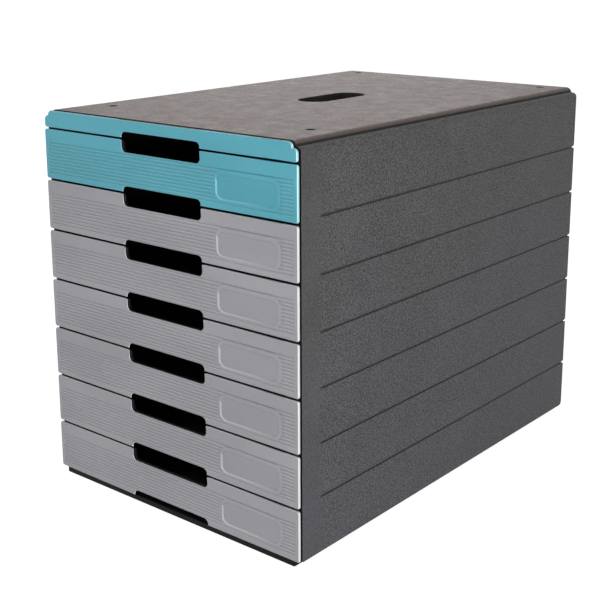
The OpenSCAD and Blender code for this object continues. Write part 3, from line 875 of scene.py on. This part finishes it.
# The tongue that reaches in under the lid
tongue_half = 86 * mm
tongue_height = 1.8 * mm
tongue_reach = 9 * mm
strip_top = fascia_high.z
shoulder = lid_seat - fascia_inset
step_x = lid_high.x - fascia_inset
fascia = block(
    "fascia",
    (-half + fascia_inset, face, fascia_low.z),
    (half - fascia_inset, face + plate_thickness, strip_top),
)
for side in (-1, 1):
    x = sorted((side * step_x, side * (half + mm)))
    combine(
        fascia,
        block("tool", (x[0], face - mm, shoulder), (x[1], face + 3 * mm, strip_top + mm)),
        "DIFFERENCE",
    )
round_edges(
    fascia, lambda edge: along(1)(edge) and reach(edge, 2)[1] < fascia_low.z + touch,
    plate_corner, 6,
)
round_edges(
    fascia,
    lambda edge: along(1)(edge) and abs(edge.verts[0].co.z - shoulder) < touch
    and abs(edge.verts[0].co.x) > step_x + mm,
    shoulder_corner, 8,
)
round_edges(
    fascia, lambda edge: along(1)(edge) and edge.verts[0].co.z > strip_top - touch,
    strip_corner, 8,
)
combine(fascia, cutout(gap), "DIFFERENCE")
round_edges(
    fascia, lambda edge: face_edge(edge) and not cutout_edge(edge), outline_round, 6,
    outline_profile,
)
round_edges(fascia, cutout_edge, cutout_round, 6)
core = block(
    "tool",
    (-core_half, core_front, fascia_low.z),
    (core_half, core_back, lid_seat - fascia_core_head),
)
combine(core, cutout(gap), "DIFFERENCE")
combine(fascia, core, "UNION")
combine(fascia, cutout_back(gap), "DIFFERENCE")
combine(
    fascia,
    block(
        "tool",
        (-tongue_half, face + plate_thickness / 2, lid_seat - tongue_height),
        (tongue_half, lid_low.y + tongue_reach, lid_seat),
    ),
    "UNION",
)
finish_shape(fascia)
coat(fascia, teal("fascia_teal", fascia_highlight_zone))
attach(fascia, "housing")
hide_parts("front_fascia")

# ------------------------------------------------------------------ drawer trays
# The trays are smooth black mouldings that hang on the runners by their flanges. They are the
# CAD nodes: low ribs on the floor, stop lugs at the rear, a lowered rear wall.


def tray_painted_shade(finish):
    """The cut edges of the front wall, in the shade of the finger cut-outs, painted black: painted
    shade.
    """
    across = finish.size_of(finish.axis("X")) < cutout_half + 3 * mm
    near = finish.axis("Y") < core_back + 4 * mm
    return across * near * (finish.size_of(finish.facing("X")) > 0.3)


tray_plastic = moulded(
    "tray_plastic", rgb(30, 30, 32), rgb(42, 42, 44), 0.46, 0.5 * mm, tray_painted_shade
)
for k in range(1, 8):
    dress(tray_plastic, f"drawer_tray_{k}")

# ------------------------------------------------------------------ floor, lamps and camera
# A white studio: a floor that keeps a soft shadow, a pale surround, and three large lamps. The
# camera stands at the right front, a little above the lid, as in the photograph.


def studio_floor():
    """White to the camera, with the object's shadow on it."""
    finish = Finish(bpy.data.materials.new("studio_floor"))
    paper = finish.node("ShaderNodeBsdfDiffuse", {}, {"Color": (0.8, 0.8, 0.8, 1)})
    lit = finish.node("ShaderNodeEmission", {}, {"Color": (1, 1, 1, 1), "Strength": 1.37})
    seen = finish.node("ShaderNodeLightPath", {}, {}, "Is Camera Ray")
    mirrored = finish.node("ShaderNodeLightPath", {}, {}, "Is Glossy Ray")
    share = seen * 0.7 + mirrored * 0.7
    mixed = finish.node("ShaderNodeMixShader", {}, {0: share, 1: paper, 2: lit})
    finish.node("ShaderNodeOutputMaterial", {}, {"Surface": mixed})
    return finish.owner


bpy.ops.object.select_all(action="DESELECT")
bpy.ops.mesh.primitive_plane_add(size=12, location=(0, 0, 0))
floor = bpy.context.object
floor.name = "studio_floor"
coat(floor, studio_floor())

world = bpy.data.worlds.new("studio")
bpy.context.scene.world = world
sky = Finish(world)
seen_directly = sky.node("ShaderNodeLightPath", {}, {}, "Is Camera Ray")
mirrored = sky.node("ShaderNodeLightPath", {}, {}, "Is Glossy Ray")
strength = sky.spread(sky.larger(seen_directly, mirrored), 0, 1, 0.28, 1)
surround = sky.node("ShaderNodeBackground", {}, {"Color": (1, 1, 1, 1), "Strength": strength})
sky.node("ShaderNodeOutputWorld", {}, {"Surface": surround})


def lamp(name, place, aim, size, power):
    """A square soft lamp that faces its aim."""
    data = bpy.data.lights.new(name, "AREA")
    data.shape = "SQUARE"
    data.size = size
    data.energy = power
    lamp_object = bpy.data.objects.new(name, data)
    bpy.context.scene.collection.objects.link(lamp_object)
    turn = (Vector(aim) - Vector(place)).to_track_quat("-Z", "Y")
    lamp_object.matrix_world = Matrix.Translation(place) @ turn.to_matrix().to_4x4()


box_middle = (0, 0, 0.15)
lamp("lamp_right", (1.0, -1.05, 0.16), (0, 0, 0.1), 0.5, 13)
lamp("lamp_front", (-0.5, -1.55, 1.5), box_middle, 0.8, 11)
lamp("lamp_rear", (-1.25, 1.5, 0.95), box_middle, 1.2, 6.2)

camera_data = bpy.data.cameras.new("camera")
camera_data.lens = 70.5
camera_data.sensor_width = 36
camera_data.shift_x = 0.001
camera_data.shift_y = -0.117
camera = bpy.data.objects.new("camera", camera_data)
bpy.context.scene.collection.objects.link(camera)
# The directions of the picture's right and of the line of sight, fitted to the gap lines
right = Vector((0.76792, 0.64053, -0.00370))
forward = Vector((-0.62367, 0.74636, -0.23233))
up = right.cross(forward)
camera.matrix_world = Matrix.Translation((0.59011, -0.74235, 0.41317)) @ Matrix(
    (right, up, -forward)
).transposed().to_4x4()
bpy.context.scene.camera = camera
bpy.context.scene.view_settings.view_transform = "Standard"
